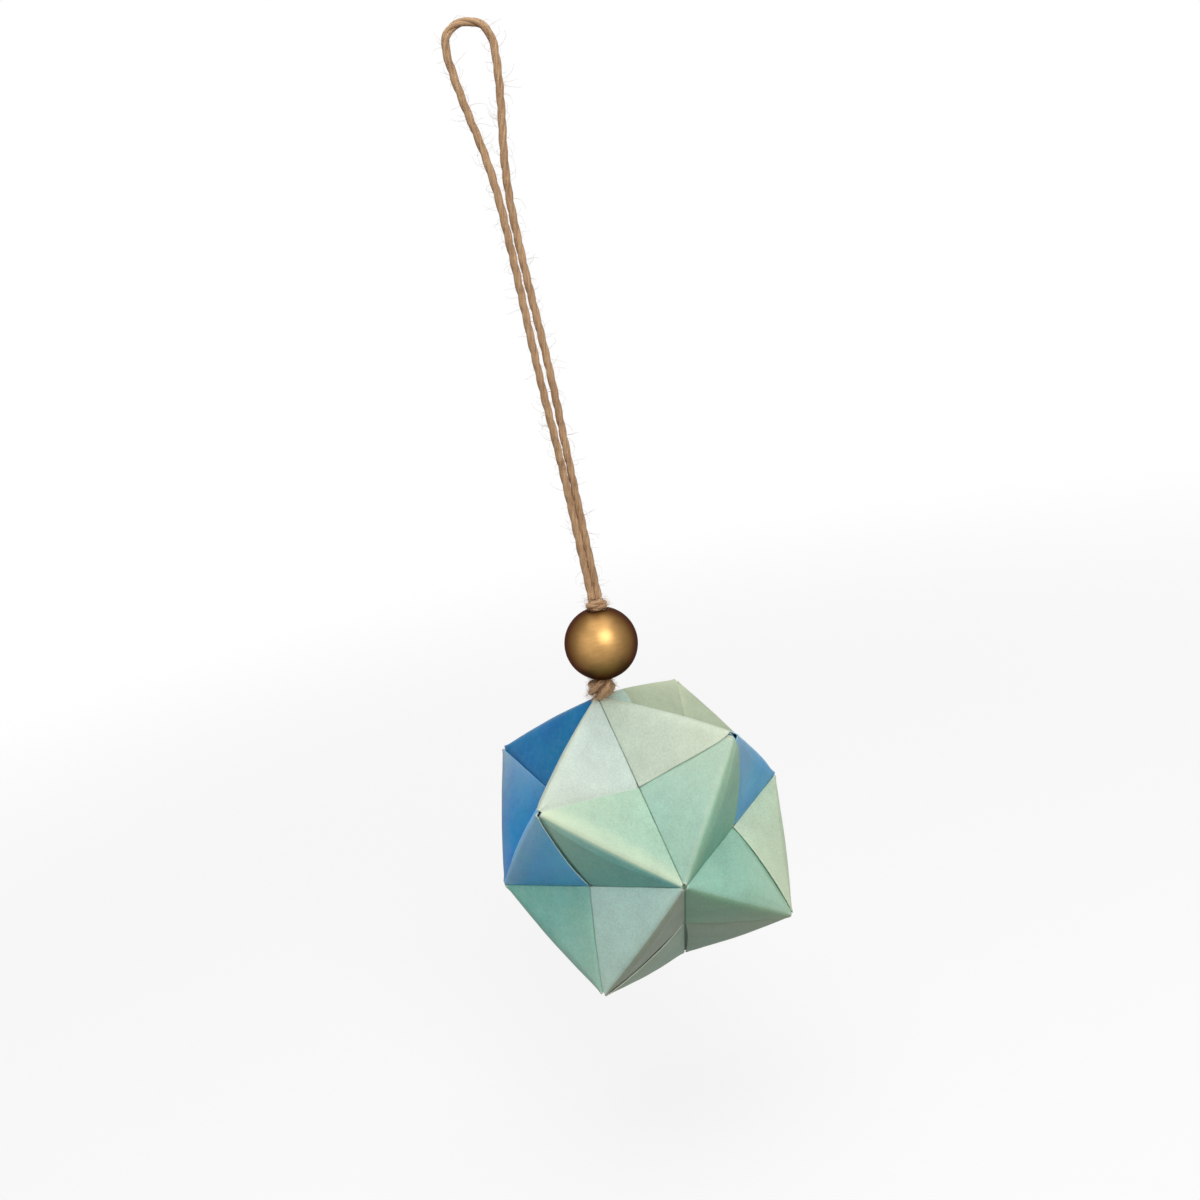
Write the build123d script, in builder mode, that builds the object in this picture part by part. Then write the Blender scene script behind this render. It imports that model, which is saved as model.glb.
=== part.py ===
from build123d import *
from math import cos, pi, radians, sin, sqrt, tan
import os

# A paper ball folded from twelve square sheets, hung on a doubled jute twine with a gold bead.
# Each sheet becomes one unit with two pockets and two tabs, and the tabs lock the units together.
# The origin is where the loop hangs, at the inside of its top, and +Z runs up along the twine.

# Folded sheets
sheet_side = 118.0
sheet_thick = 0.1
base_plies = 3
flap_plies = 2
tab_plies = 4
slip = 0.03
tip_cut = 0.9
ball_lean = 6.0

# Bead
bead_width = 20.0
bead_flat_width = 6.2
bead_bore = 4.0
bore_edge_cut = 0.4
bead_lean = 6.0

# Twine and its knots
twine_width = 1.8
strand_gap = 0.1
wrap_sides = 8
upper_knot_width = 6.2
upper_knot_height = 3.1
lower_knot_width = 8.0
corner_drop = 4.4
stopper_width = 8.0
seat_clearance = 0.1
loop_reach = 146.0
bend_share = 0.45

# Route of the loop, from the top of the upper knot round the hook and back
loop_route_points = [
    (1.94, 0.0, -146.0),
    (1.94, 0.0, -126.0),
    (2.05, 0.1, -104.0),
    (2.30, 0.1, -83.0),
    (1.40, 0.0, -58.0),
    (1.45, -0.1, -36.0),
    (5.30, -0.1, -15.5),
    (6.50, 0.0, 0.9),
    (-6.50, 0.0, 0.9),
    (-5.10, 0.1, -14.5),
    (-1.15, 0.1, -34.0),
    (-0.75, 0.0, -57.0),
    (-0.85, -0.1, -84.0),
    (-0.15, -0.1, -105.0),
    (0.04, 0.0, -126.0),
    (0.04, 0.0, -146.0),
]

# Sizes of the fold: four right-angled triangles in a row make up each unit
valley_length = sheet_side / 2
ridge_length = valley_length / sqrt(2)
corner_reach = ridge_length
apex_side_share = 2 / 3
apex_out_share = 2 * sqrt(2) / 3
ridge_slope_share = 1 / sqrt(8)

# Stack of a face, measured inwards from its outer surface: pocket flap, tucked tab, base
flap_thick = flap_plies * sheet_thick
tab_thick = tab_plies * sheet_thick
base_thick = base_plies * sheet_thick
tab_depth = flap_thick + slip
base_depth = tab_depth + tab_thick + slip
wall_depth = base_depth + base_thick
ridge_round = tab_thick + flap_thick

# Where the parts of a unit stop short of the units beside it
tab_stop = tab_depth + tab_thick + slip
base_stop = wall_depth + slip
valley_stop = flap_thick + slip
slant = sqrt(2)
seam_room = slip * slant

# Leaning axes: the bead's top points a little to the right, the ball's top corner to the left
bead_up = Vector(sin(radians(bead_lean)), 0, cos(radians(bead_lean)))
bead_right = Vector(bead_up.Z, 0, -bead_up.X)
ball_up = Vector(-sin(radians(ball_lean)), 0, cos(radians(ball_lean)))
ball_right = Vector(ball_up.Z, 0, -ball_up.X)

# Places along the twine, from the loop down, with the ball's centre straight under the loop
bead_flat = bead_flat_width / 2
bead_height = sqrt(bead_width**2 - bead_flat_width**2)
strand_pitch = twine_width + strand_gap
twine_hole = strand_pitch + twine_width + 2 * strand_gap
bead_rise = bead_height / 2 * bead_up.Z
bead_centre = Vector(0, 0, -(loop_reach + upper_knot_height + bead_rise))
ball_centre = bead_centre - Vector(0, 0, bead_rise + corner_drop + corner_reach * ball_up.Z)
ball_plane = Plane(origin=ball_centre, x_dir=ball_right, z_dir=ball_up)
bead_plane = Plane(origin=bead_centre, x_dir=bead_right, z_dir=bead_up)

# Seats of the knots on the bead and on the ball's top corner
upper_seat = bead_plane.offset(bead_height / 2)
lower_seat = bead_plane.offset(-bead_height / 2)
hole_drop = twine_hole / 2 * ridge_slope_share
hole_seat = ball_plane.offset(corner_reach - hole_drop)
lower_knot_centre = (lower_seat.origin + hole_seat.origin) / 2

# Stopper knot inside: its round shoulders lie against the valleys around the top corner
stopper_drop = sqrt(2) * (wall_depth / apex_out_share + stopper_width / 2 + seat_clearance)
stopper_plane = ball_plane.offset(corner_reach - stopper_drop)
stopper_flat = stopper_width / 3
stopper_half = sqrt((stopper_width / 2) ** 2 - stopper_flat**2)


def layer_face(plane, outline):
    """Draw the outline of a flat layer of folded paper on a plane."""
    with BuildSketch(plane) as face:
        with BuildLine():
            Polyline(*outline, close=True)
        make_face()
    return face.sketch


# One half of a unit, with +Z out of the ball through the middle of the valley, the valley along X,
# and the half's apex on the +Y side. On both planes X runs down the unit's own ridge from the
# apex; on the face Y runs down the other ridge, and on the tab the paper lies on the -Y side.
valley_left = Vector(-valley_length / 2, 0, valley_length / 2)
valley_right = Vector(valley_length / 2, 0, valley_length / 2)
apex = Vector(0, apex_side_share * ridge_length, apex_out_share * ridge_length)
down_ridge = valley_left - apex
face_plane = Plane(origin=apex, x_dir=down_ridge, z_dir=down_ridge.cross(valley_right - apex))
tab_plane = Plane(origin=apex, x_dir=down_ridge, z_dir=apex - valley_right)
ridge_end = ridge_length - tip_cut

# Pocket flap: the half of the face beside the unit's own ridge, open along the seam
flap_outline = [
    (tab_stop, tab_depth),
    (ridge_end, tab_depth),
    (ridge_end, tip_cut),
    ((ridge_length + seam_room) / 2, (ridge_length - seam_room) / 2),
    (tab_stop, tab_stop - seam_room),
]

# Tab: a whole triangle folded down over the ridge, to be tucked into the next pocket
tab_side = ridge_length - valley_stop * slant
tab_outline = [
    (tab_stop, 0),
    (ridge_end, 0),
    (ridge_end, ridge_end - tab_side),
    (tab_stop, tab_stop - tab_side),
]

# Base under the whole face, run on past the valley and trimmed there to a mitre
base_side = ridge_length + wall_depth / 2
base_outline = [
    (base_stop, tab_depth),
    (ridge_end, tab_depth),
    (ridge_end, base_side - ridge_end),
    (base_stop, base_side - base_stop),
]
wall_length = valley_length / 2 - tip_cut * slant - slip

with BuildPart() as unit_half:
    # Flap and tab are one layer of paper, with a soft crease where it turns over the ridge
    extrude(layer_face(face_plane, flap_outline), amount=-flap_thick)
    extrude(layer_face(tab_plane.offset(-tab_depth), tab_outline), amount=-tab_thick)
    crease_middle = (face_plane * Location((ridge_length / 2, tab_depth, 0))).position
    along_ridge = unit_half.edges().filter_by(Axis(apex, down_ridge))
    fillet(along_ridge.sort_by_distance(crease_middle)[0], ridge_round)

    extrude(layer_face(face_plane.offset(-base_depth), base_outline), amount=-base_thick)

    # Closed end of the pocket, a fold down the valley from the flap to the base
    with BuildSketch(Plane.XZ):
        with Locations((-slip - wall_length / 2, (valley_length - wall_depth) / 2)):
            Rectangle(wall_length, wall_depth)
    extrude(amount=-flap_thick)
    split(bisect_by=Plane.XZ, keep=Keep.BOTTOM)

with BuildPart() as folded_sheet:
    add(unit_half.part)
    add(unit_half.part.rotate(Axis.Z, 180))

# The twelve valleys of the ball, each from one corner to the next, and the side the unit takes
right, left = Vector(1, 0, 0), Vector(-1, 0, 0)
front, back = Vector(0, -1, 0), Vector(0, 1, 0)
top, bottom = Vector(0, 0, 1), Vector(0, 0, -1)
unit_places = {
    "unit_top_front": (top, front),
    "unit_top_left": (top, left),
    "unit_top_back": (top, back),
    "unit_top_right": (top, right),
    "unit_front_left": (front, left),
    "unit_front_right": (front, right),
    "unit_back_left": (back, left),
    "unit_back_right": (back, right),
    "unit_bottom_front": (bottom, front),
    "unit_bottom_left": (bottom, left),
    "unit_bottom_back": (bottom, back),
    "unit_bottom_right": (bottom, right),
}

pieces = []
for unit_name, (start_corner, end_corner) in unit_places.items():
    seat = Plane(origin=(0, 0, 0), x_dir=end_corner - start_corner, z_dir=start_corner + end_corner)
    with BuildPart() as unit:
        with Locations(ball_plane.location * seat.location):
            add(folded_sheet.part)
        with Locations(hole_seat):
            Cylinder(twine_hole / 2, wall_depth * 12, mode=Mode.SUBTRACT)
    unit.part.label = unit_name
    pieces.append(unit.part)

# Bead: a ball with a bore and a small flat at each end, where the knots sit
with BuildPart() as gold_bead:
    with BuildSketch(Plane(origin=bead_centre, x_dir=bead_right, z_dir=bead_right.cross(bead_up))):
        with BuildLine():
            Polyline(
                (bead_flat, -bead_height / 2),
                (bead_bore / 2, -bead_height / 2),
                (bead_bore / 2, bead_height / 2),
                (bead_flat, bead_height / 2),
            )
            ThreePointArc((bead_flat, bead_height / 2), (bead_width / 2, 0), (bead_flat, -bead_height / 2))
        make_face()
    revolve(axis=Axis(bead_centre, bead_up))
    chamfer(gold_bead.edges().filter_by(GeomType.CIRCLE).group_by(SortBy.RADIUS)[0], bore_edge_cut)
gold_bead.part.label = "gold_bead"
pieces.append(gold_bead.part)


def knot_profile(centre, width, wraps):
    """Draw half the section of a knot: flat wraps of the twine around an upright axis."""
    core = (width - twine_width) / 2
    with BuildSketch(Plane(origin=centre, x_dir=(1, 0, 0), z_dir=(0, -1, 0))) as profile:
        with Locations((core / 2, 0)):
            Rectangle(core, wraps * twine_width)
        with Locations((core, 0)):
            with GridLocations(twine_width, twine_width, 1, wraps):
                RegularPolygon(twine_width / 2, wrap_sides, major_radius=False, rotation=180 / wrap_sides)
    return profile.sketch


# Upper knot: two wraps on top of the bead, cut level where the loop comes out of it
upper_knot_centre = upper_seat.origin + Vector(0, 0, upper_knot_height / 2)
with BuildPart() as upper_knot:
    revolve(knot_profile(upper_knot_centre, upper_knot_width, 2), axis=Axis(upper_knot_centre, (0, 0, 1)))
    split(bisect_by=upper_seat, keep=Keep.TOP)
    split(bisect_by=Plane.XY.offset(-loop_reach), keep=Keep.BOTTOM)
upper_knot.part.label = "upper_knot"
pieces.append(upper_knot.part)

# Lower knot: three wraps between the bead and the ball's top corner
with BuildPart() as lower_knot:
    revolve(knot_profile(lower_knot_centre, lower_knot_width, 3), axis=Axis(lower_knot_centre, (0, 0, 1)))
    split(bisect_by=lower_seat, keep=Keep.BOTTOM)
    split(bisect_by=hole_seat, keep=Keep.TOP)
lower_knot.part.label = "lower_knot"
pieces.append(lower_knot.part)

# Stopper knot inside the ball, flat on top where the two strands come down to it
with BuildPart() as stopper_knot:
    with Locations(stopper_plane):
        Sphere(stopper_width / 2)
    split(bisect_by=stopper_plane.offset(stopper_half), keep=Keep.BOTTOM)
stopper_knot.part.label = "stopper_knot"
pieces.append(stopper_knot.part)


def strand_pair(plane):
    """Draw the sections of the doubled twine's two strands, side by side on a plane."""
    with BuildSketch(plane) as sections:
        with GridLocations(strand_pitch, strand_pitch, 2, 1):
            Circle(twine_width / 2)
    return sections.sketch


with BuildPart() as bead_strands:
    extrude(strand_pair(lower_seat), amount=bead_height)
bead_strands.part.label = "bead_strands"
pieces.append(bead_strands.part)

with BuildPart() as corner_strands:
    extrude(strand_pair(stopper_plane.offset(stopper_half)), amount=stopper_drop - stopper_half - hole_drop)
corner_strands.part.label = "corner_strands"
pieces.append(corner_strands.part)

# Loop: one length of twine up from the upper knot, round the hook and back, with arcs between runs
route = [Vector(*point) for point in loop_route_points]
bend_radii = []
for before, point, after in zip(route, route[1:], route[2:]):
    half_turn = radians((point - before).get_angle(after - point)) / 2
    shorter_run = min((point - before).length, (after - point).length)
    bend_radii.append(bend_share * shorter_run / tan(half_turn))
print("loop radii:", [round(radius, 1) for radius in bend_radii])

with BuildPart() as twine_loop:
    with BuildLine() as loop_path:
        FilletPolyline(*route, radius=bend_radii)
    with BuildSketch(Plane(origin=loop_path.line @ 0, z_dir=loop_path.line % 0)):
        Circle(twine_width / 2)
    sweep()
loop_length = loop_path.wire().length
twine_section = pi * (twine_width / 2) ** 2
print("loop length:", round(loop_length, 1), "mm")
print("tube volume against section times length:", twine_loop.part.volume / (twine_section * loop_length))
twine_loop.part.label = "twine_loop"
pieces.append(twine_loop.part)

os.makedirs("parts", exist_ok=True)
for piece in pieces:
    export_step(piece, f"parts/{piece.label}.step")
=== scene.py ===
# %% [markdown]
# A paper ball on jute twine
#
# Twelve square sheets are folded into units, and the tabs of each unit slide into the pockets of
# the next one until the ball closes. A gold bead and a doubled jute twine hang it up. The packed
# solids give every place and size, and this file gives each piece the look of paper, paint and jute.

# %% Load the packed solids
from collections import namedtuple
from functools import partial
from math import cos, pi, radians, sin, sqrt

import bpy
import numpy as np
from mathutils import Matrix, Quaternion, Vector


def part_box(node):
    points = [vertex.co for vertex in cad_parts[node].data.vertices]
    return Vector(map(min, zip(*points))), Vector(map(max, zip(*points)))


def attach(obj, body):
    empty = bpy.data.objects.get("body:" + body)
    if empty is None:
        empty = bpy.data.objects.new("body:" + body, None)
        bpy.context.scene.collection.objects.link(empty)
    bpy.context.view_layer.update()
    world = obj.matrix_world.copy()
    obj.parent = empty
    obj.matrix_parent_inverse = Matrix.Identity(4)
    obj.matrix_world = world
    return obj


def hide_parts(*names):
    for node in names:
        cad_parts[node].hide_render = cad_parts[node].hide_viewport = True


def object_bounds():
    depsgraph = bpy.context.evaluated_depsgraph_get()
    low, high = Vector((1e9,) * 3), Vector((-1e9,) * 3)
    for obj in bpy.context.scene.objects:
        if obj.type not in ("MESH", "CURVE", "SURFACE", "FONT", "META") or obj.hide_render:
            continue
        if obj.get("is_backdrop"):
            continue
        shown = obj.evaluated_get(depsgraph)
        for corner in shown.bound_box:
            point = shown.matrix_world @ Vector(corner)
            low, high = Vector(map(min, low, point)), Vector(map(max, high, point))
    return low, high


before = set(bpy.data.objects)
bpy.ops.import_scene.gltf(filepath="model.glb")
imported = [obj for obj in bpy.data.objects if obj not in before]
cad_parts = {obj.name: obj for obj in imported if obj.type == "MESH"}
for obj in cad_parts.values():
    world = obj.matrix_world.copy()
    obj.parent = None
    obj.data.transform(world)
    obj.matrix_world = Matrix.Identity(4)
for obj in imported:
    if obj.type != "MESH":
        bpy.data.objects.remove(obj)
cad_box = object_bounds()
mm = 0.001
scene = bpy.context.scene
print("solids:", len(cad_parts), "box:", [[round(v / mm, 1) for v in corner] for corner in cad_box])

# %% [markdown]
# Every piece below ends as an object in the scene, so one helper puts it there. The camera comes
# first, because every later choice is judged through it. It could be placed by eye, but then each
# comparison would be guesswork, so its place, lens and roll were fitted to the corners and tips of
# the ball. It stands about a third of a metre in front, a little to the left and above, and is
# rolled, so that the twine runs down the picture at a slant.


# %% Camera
def in_scene(name, data):
    """A new object in the scene that shows a mesh, a curve, a lamp or a camera."""
    thing = bpy.data.objects.new(name, data)
    scene.collection.objects.link(thing)
    return thing


camera_place = Vector((-59.0, -332.6, -62.0)) * mm
camera_look = Vector((0.1756, 0.9539, -0.2433))
camera_roll = radians(-12.35)
camera_lens = 38.85
film_width = 36.0
nearest_seen = 10 * mm
camera = in_scene("camera", bpy.data.cameras.new("camera"))
camera.data.sensor_width = film_width
camera.data.lens = camera_lens
camera.data.clip_start = nearest_seen
camera.location = camera_place
camera.rotation_mode = "QUATERNION"
camera.rotation_quaternion = camera_look.to_track_quat("-Z", "Y") @ Quaternion((0, 0, 1), camera_roll)
scene.camera = camera

# %% [markdown]
# The twine
#
# Jute twine is three yarns laid round each other. It hangs from its top, so the two strands of the
# loop run down almost straight, with the small waves that it keeps from its reel. Its route could be
# drawn as a bent tube, but a cord never kinks. The route is therefore one smooth curve that is
# steered by the listed points, and it is turned into a row of edges that the yarns can follow.

# %% Route of the loop
twine_width = 1.8 * mm
route_order = 3
steps_per_point = 16
loop_route_points = [
    (1.94, 0.0, -146.0),
    (1.94, 0.0, -126.0),
    (2.05, 0.1, -104.0),
    (2.30, 0.1, -83.0),
    (1.40, 0.0, -58.0),
    (1.45, -0.1, -36.0),
    (5.30, -0.1, -15.5),
    (6.50, 0.0, 0.9),
    (-6.50, 0.0, 0.9),
    (-5.10, 0.1, -14.5),
    (-1.15, 0.1, -34.0),
    (-0.75, 0.0, -57.0),
    (-0.85, -0.1, -84.0),
    (-0.15, -0.1, -105.0),
    (0.04, 0.0, -126.0),
    (0.04, 0.0, -146.0),
]


def smooth_route(points):
    """Points along the smooth curve that the given points steer, as an edge mesh object."""
    curve = bpy.data.curves.new("route", "CURVE")
    curve.dimensions = "3D"
    spline = curve.splines.new("NURBS")
    spline.points.add(len(points) - 1)
    for target, point in zip(spline.points, points):
        target.co = (*(Vector(point) * mm), 1.0)
    spline.order_u = route_order
    spline.use_endpoint_u = True
    spline.resolution_u = steps_per_point
    holder = in_scene("route", curve)
    bpy.context.view_layer.update()
    mesh = bpy.data.meshes.new_from_object(holder)
    bpy.data.objects.remove(holder)
    return in_scene("route", mesh)


loop_route = smooth_route(loop_route_points)
loop_path = [vertex.co.copy() for vertex in loop_route.data.vertices]
route_length = sum((b - a).length for a, b in zip(loop_path, loop_path[1:]))
print("loop route:", len(loop_path), "points,", round(route_length / mm, 1), "mm")

# %% [markdown]
# Materials and Geometry Nodes are both trees of nodes, and each tree needs the same few moves: add
# a node, feed it, do a sum. Written out in full they bury the idea, so one small class gives the
# moves short names for the tree at hand. A value can be a number, a colour, a socket or a node.


# %% Helper for wiring a tree
class Wiring:
    """Short names for adding nodes to one tree and for feeding them."""

    def __init__(self, tree):
        self.tree = tree
        self.plus = partial(self.calc, "ADD")
        self.minus = partial(self.calc, "SUBTRACT")
        self.times = partial(self.calc, "MULTIPLY")
        self.over = partial(self.calc, "DIVIDE")

    def give(self, socket, value):
        """Link a socket to a node's first output or to another socket, or set its plain value."""
        if isinstance(value, bpy.types.Node):
            value = value.outputs[0]
        if isinstance(value, bpy.types.NodeSocket):
            self.tree.links.new(value, socket)
        else:
            socket.default_value = value

    def fill(self, sockets, values):
        """Give each socket its value, in order."""
        for socket, value in zip(sockets, values):
            self.give(socket, value)

    def feed(self, node, **feeds):
        """Feed a node's inputs by their names, with an underscore for each space."""
        for name, value in feeds.items():
            wanted = name.replace("_", " ").lower()
            self.give(next(s for s in node.inputs if s.enabled and s.name.lower() == wanted), value)

    def node(self, kind, settings=None, **feeds):
        """Add a node, set its properties, and feed its inputs."""
        node = self.tree.nodes.new(kind)
        for name, value in (settings or {}).items():
            setattr(node, name, value)
        self.feed(node, **feeds)
        return node

    def calc(self, operation, *values):
        """One step of arithmetic on numbers."""
        node = self.node("ShaderNodeMath", {"operation": operation})
        self.fill(node.inputs, values)
        return node.outputs[0]

    def vector(self, operation, *values):
        """One step of arithmetic on vectors; SCALE takes a vector and a number."""
        node = self.node("ShaderNodeVectorMath", {"operation": operation})
        self.fill([node.inputs[0], node.inputs["Scale"]] if operation == "SCALE" else node.inputs, values)
        return node.outputs["Vector"]


print("wiring moves:", [name for name in vars(Wiring) if not name.startswith("_")])

# %% [markdown]
# Most of the looks here are patterns: a place goes into smooth noise, and the value that comes out
# is swung about 0, set between two limits or turned into a colour. Each of those is one node or a
# few, and they come up in the twine, the paint, the paper and the room, so they get names as well.


# %% Helper for patterns
class Patterns(Wiring):
    """Wiring with short names for noise, blends and colours."""

    def noise(self, scale, detail, roughness=0.5, place=None, seed=None):
        """Smooth noise about 0.5, with a pattern of its own for each seed where one is given."""
        node = self.node("ShaderNodeTexNoise", {"noise_dimensions": "3D" if seed is None else "4D"})
        own = {"Vector": place, "W": seed}
        own = {name: value for name, value in own.items() if value is not None}
        self.feed(node, Scale=scale, Detail=detail, Roughness=roughness, **own)
        return node

    def swing(self, noise, amount):
        """Noise turned into a swing about 0, by up to the amount either way."""
        return self.times(self.times(self.minus(noise, 0.5), 2.0), amount)

    def ramp(self, value, *stops):
        """A blend between two stops, each a position and a colour."""
        node = self.node("ShaderNodeValToRGB", Fac=value)
        for element, (position, colour) in zip(node.color_ramp.elements, stops):
            element.position = position
            element.color = colour
        return node.outputs[0]

    def weighed(self, share, first, second):
        """A share of the first value and the rest from the second."""
        return self.plus(self.times(first, share), self.times(second, 1 - share))

    def rise(self, value, start, end, low=0.0, high=1.0, climb="SMOOTHSTEP"):
        """Low up to the start, high from the end on, and a climb between them."""
        ends = {"From_Min": start, "From_Max": end, "To_Min": low, "To_Max": high}
        return self.node("ShaderNodeMapRange", {"interpolation_type": climb}, Value=value, **ends).outputs[0]

    def on_object(self):
        """The place on the object itself, in metres."""
        return self.node("ShaderNodeTexCoord").outputs["Object"]

    def carried(self, name, kind="Fac"):
        """What the mesh carries under a name, as a number or as a Vector."""
        return self.node("ShaderNodeAttribute", {"attribute_name": name}).outputs[kind]

    def mix(self, share, first, second):
        """Mix two colours."""
        node = self.node("ShaderNodeMix", {"data_type": "RGBA"})
        self.fill((node.inputs[0], node.inputs[6], node.inputs[7]), (share, first, second))
        return node.outputs[2]


print("pattern moves:", [name for name in vars(Patterns) if not name.startswith("_")])

# %% [markdown]
# A node group needs named inputs, so that the same tree serves several pieces with other sizes. The
# usual value of an input also tells what kind of socket it is. Every tree that makes a shape ends
# alike: an exported mesh drops instances, so they are made real, and then take their material.


# %% Helpers for node groups
def socket_kind(usual):
    """The kind of socket for a usual value, or for a kind that is written out, such as Geometry."""
    if isinstance(usual, str):
        return "NodeSocket" + usual
    if isinstance(usual, tuple):
        return "NodeSocketVector" if len(usual) == 3 else "NodeSocketColor"
    return "NodeSocketInt" if isinstance(usual, int) else "NodeSocketFloat"


def new_group(name, kind, inputs, outputs):
    """A node group with named inputs and outputs, its wiring, what it takes, and its last node."""
    tree = bpy.data.node_groups.new(name, kind)
    for label, usual in inputs.items():
        socket = tree.interface.new_socket(label, in_out="INPUT", socket_type=socket_kind(usual))
        if not isinstance(usual, str):
            socket.default_value = usual
    for label, usual in outputs.items():
        tree.interface.new_socket(label, in_out="OUTPUT", socket_type=socket_kind(usual))
    return tree, Patterns(tree), tree.nodes.new("NodeGroupInput").outputs, tree.nodes.new("NodeGroupOutput")


def close_tree(wire, given, shape, material):
    """The last steps of such a tree: real points in place of instances, and a material on them."""
    real = wire.node("GeometryNodeRealizeInstances", Geometry=shape)
    wire.give(given.inputs[0], wire.node("GeometryNodeSetMaterial", Geometry=real, Material=material))


print("kinds of socket:", [socket_kind(usual) for usual in (1, 1.0, (0.0, 0.0, 0.0), "Geometry")])

# %% [markdown]
# Laid twine is one rule along a path, which suits Geometry Nodes better than modelling by hand: copy
# the route once for each yarn, and push each copy off the centre by an angle that grows with the
# length. The thickness wanders a little, as spun fibre does.

# %% Node tree for laid twine: the yarns' paths
yarn_count = 3
yarn_radius_share = 0.29
yarn_offset_share = 0.19
yarn_step = 0.5 * mm
yarn_sides = 9
yarn_swells_per_metre = 420.0
usual_lay_length = 12 * mm
usual_unevenness = 0.22
laid_twine, wire, taken, given = new_group(
    "Laid twine",
    "GeometryNodeTree",
    {
        "Route": "Geometry",
        "Width": twine_width,
        "Yarns": yarn_count,
        "Lay length": usual_lay_length,
        "Unevenness": usual_unevenness,
        "Seed": 0.0,
        "Material": "Material",
    },
    {"Twine": "Geometry"},
)
line = wire.node("GeometryNodeMeshToCurve", Mesh=taken["Route"])
line = wire.node("GeometryNodeResampleCurve", {"mode": "LENGTH"}, Curve=line, Length=yarn_step)
by_yarn = {"domain": "SPLINE"}
copies = wire.node("GeometryNodeDuplicateElements", by_yarn, Geometry=line, Amount=taken["Yarns"])
along = wire.node("GeometryNodeSplineParameter").outputs["Length"]
start_share = wire.over(copies.outputs["Duplicate Index"], taken["Yarns"])
turns = wire.plus(wire.over(along, taken["Lay length"]), start_share)
angle = wire.times(turns, 2 * pi)
normal = wire.node("GeometryNodeInputNormal")
tangent = wire.node("GeometryNodeInputTangent")
side = wire.vector("CROSS_PRODUCT", tangent, normal)
to_normal = wire.vector("SCALE", normal, wire.calc("COSINE", angle))
to_side = wire.vector("SCALE", side, wire.calc("SINE", angle))
kept = wire.node("GeometryNodeCaptureAttribute", Geometry=copies)
kept.capture_items.new("VECTOR", "Outward")
kept.capture_items.new("FLOAT", "Along")
wire.give(kept.inputs[1], wire.vector("ADD", to_normal, to_side))
wire.give(kept.inputs[2], along)
push = wire.vector("SCALE", kept.outputs[1], wire.times(taken["Width"], yarn_offset_share))
moved = wire.node("GeometryNodeSetPosition", Geometry=kept, Offset=push)
spun = wire.noise(yarn_swells_per_metre, 2.0, seed=taken["Seed"])
swell = wire.plus(1.0, wire.swing(spun, taken["Unevenness"]))
sized = wire.node("GeometryNodeSetCurveRadius", Curve=moved, Radius=swell)
print("yarns each lie", round(twine_width * yarn_offset_share / mm, 2), "mm off the twine's centre")

# %% [markdown]
# A round section is then swept along each yarn. Two attributes go with it, the length and the way
# round, because the streaks in the material have to follow the yarn, and only the tree knows where
# the yarn runs. A plain pipe with a picture of twine on it would show its flat sides at the edge.

# %% Node tree for laid twine: the section
marked = wire.node(
    "GeometryNodeStoreNamedAttribute",
    {"data_type": "FLOAT"},
    Geometry=sized,
    Name="along",
    Value=kept.outputs[2],
)
yarn_radius = wire.times(taken["Width"], yarn_radius_share)
ring = wire.node("GeometryNodeCurvePrimitiveCircle", Resolution=yarn_sides, Radius=yarn_radius)
ring = wire.node(
    "GeometryNodeStoreNamedAttribute",
    {"data_type": "FLOAT_VECTOR"},
    Geometry=ring,
    Name="round",
    Value=wire.vector("NORMALIZE", wire.node("GeometryNodeInputPosition")),
)
swept = wire.node(
    "GeometryNodeCurveToMesh",
    Curve=marked,
    Profile_Curve=ring,
    Fill_Caps=True,
    Scale=wire.node("GeometryNodeInputRadius"),
)
smooth = wire.node("GeometryNodeSetShadeSmooth", Geometry=swept)
close_tree(wire, given, smooth, taken["Material"])
print("twine tree:", len(laid_twine.nodes), "nodes")

# %% [markdown]
# Jute is never clean: short fibres stand off it everywhere. A hair system could grow them, but its
# hairs aren't a mesh. They repeat hundreds of times, so one thin bent hair is instanced on points
# scattered over the twine, turned and scaled at random from a fixed seed.

# %% Node tree for stray fibres: where they stand
usual_fibres = 150000.0
shortest_fibre = 1.2 * mm
longest_fibre = 4.0 * mm
fibre_thickness = 0.07 * mm
fibre_bends = 6
stray_fibres, wire, taken, given = new_group(
    "Stray fibres",
    "GeometryNodeTree",
    {
        "Twine": "Geometry",
        "Fibres per square metre": usual_fibres,
        "Shortest": shortest_fibre,
        "Longest": longest_fibre,
        "Thickness": fibre_thickness,
        "Seed": 3,
        "Material": "Material",
    },
    {"Fibres": "Geometry"},
)
roots = wire.node(
    "GeometryNodeDistributePointsOnFaces",
    Mesh=taken["Twine"],
    Density=taken["Fibres per square metre"],
    Seed=taken["Seed"],
)
hair = wire.node(
    "GeometryNodeCurveQuadraticBezier",
    Resolution=fibre_bends,
    Start=(0.0, 0.0, 0.0),
    Middle=(0.25, 0.0, 0.75),
    End=(1.0, 0.1, 0.62),
)
random_number = partial(wire.node, "FunctionNodeRandomValue", {"data_type": "FLOAT"})
lengths = random_number(Min=taken["Shortest"], Max=taken["Longest"], Seed=taken["Seed"]).outputs["Value"]
spin = random_number(Min=0.0, Max=2 * pi, Seed=wire.plus(taken["Seed"], 1)).outputs["Value"]
turned = wire.node(
    "FunctionNodeRotateRotation",
    {"rotation_space": "LOCAL"},
    Rotation=roots.outputs["Rotation"],
    Rotate_By=wire.node("ShaderNodeCombineXYZ", Z=spin),
)
placed = wire.node(
    "GeometryNodeInstanceOnPoints",
    Points=roots.outputs["Points"],
    Instance=hair,
    Rotation=turned,
    Scale=lengths,
)
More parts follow.
